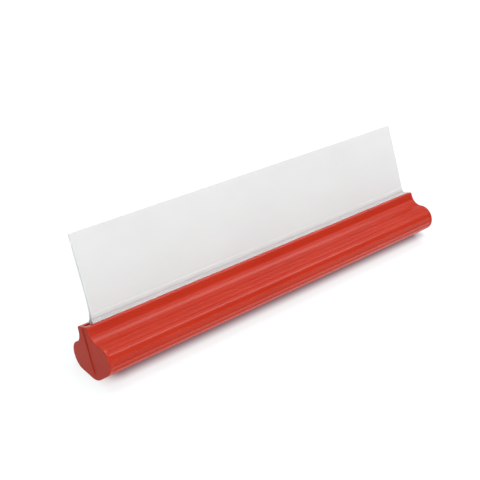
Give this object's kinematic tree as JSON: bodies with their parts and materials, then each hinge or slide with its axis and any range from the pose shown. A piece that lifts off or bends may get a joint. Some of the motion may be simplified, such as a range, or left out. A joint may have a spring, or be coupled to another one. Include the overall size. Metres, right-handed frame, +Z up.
{
  "type": "squeegee",
  "caption": "Hand squeegee for drying windows: a long hollow grip handle with fluted shoulders and a flexible translucent silicone blade clamped in its narrow neck.",
  "frame": {"origin": "centre of the bounding box on the ground, with the squeegee resting on the rear flank of its handle and the blade leaning back 20.5 degrees", "axes": "+X along the handle and the blade's wiping edge, +Y from the front of the handle towards the rear, where the blade leans, +Z up"},
  "size_m": [0.305, 0.05, 0.0865],
  "materials": {
    "red_plastic": "satin moulded plastic",
    "clear_silicone": "frosted translucent silicone",
    "zinc_steel": "zinc plated"
  },
  "bodies": {
    "handle": {"handle_front_shell": "red_plastic", "handle_rear_shell": "red_plastic", "blade_root": "clear_silicone", "shell_screw_1": "zinc_steel", "shell_screw_2": "zinc_steel", "shell_screw_3": "zinc_steel", "shell_screw_4": "zinc_steel", "shell_screw_5": "zinc_steel", "shell_screw_6": "zinc_steel"},
    "blade": {"blade_flap": "clear_silicone"}
  },
  "joints": [
    {"name": "blade_flex", "type": "hinge", "parent": "handle", "child": "blade", "pos_m": [0, 0.00524, 0.03702], "axis": [1, 0, 0], "range_deg": [-40, 40], "stiffness_Nm_per_rad": 0.06, "springref_deg": 2.69}
  ]
}
